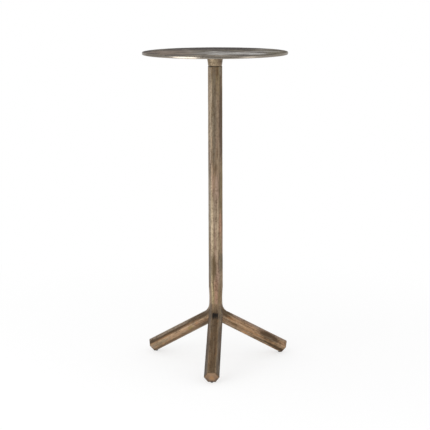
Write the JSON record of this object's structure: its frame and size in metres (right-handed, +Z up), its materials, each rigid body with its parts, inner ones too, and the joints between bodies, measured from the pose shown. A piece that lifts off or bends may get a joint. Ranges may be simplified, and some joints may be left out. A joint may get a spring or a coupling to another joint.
{
  "type": "wine table",
  "caption": "Small wine table: a thin round top screws onto a slender hexagonal column, which flows through a filleted hub into splayed hexagonal legs of antiqued cast metal.",
  "frame": {"origin": "on the floor, under the column's axis", "axes": "+Z up the column, -Y along the front leg as seen from above, +X to the right of the front leg"},
  "size_m": [0.3008, 0.3194, 0.657],
  "materials": {
    "top_metal": "dark antiqued cast metal, rubbed to a dull silver shine",
    "stand_metal": "antiqued bronze over cast metal, streaked, with rubbed edges",
    "steel": "zinc-plated steel",
    "glide_plastic": "matt black"
  },
  "bodies": {
    "stand": {"column_tube": "stand_metal", "base_hub": "stand_metal", "leg_front": "stand_metal", "leg_right": "stand_metal", "leg_left": "stand_metal", "column_head_plug": "steel", "column_foot_plug": "steel", "top_stud": "steel", "base_bolt": "steel", "base_flat_washer": "steel", "base_lock_washer": "steel", "glide_front": "glide_plastic", "glide_right": "glide_plastic", "glide_left": "glide_plastic"},
    "top": {"top_disc": "top_metal", "top_collar": "stand_metal"}
  },
  "joints": [
    {"name": "top_unscrew", "type": "hinge", "parent": "stand", "child": "top", "pos_m": [0, 0, 0.6276], "axis": [0, 0, 1], "range_deg": [0, 360]}
  ]
}
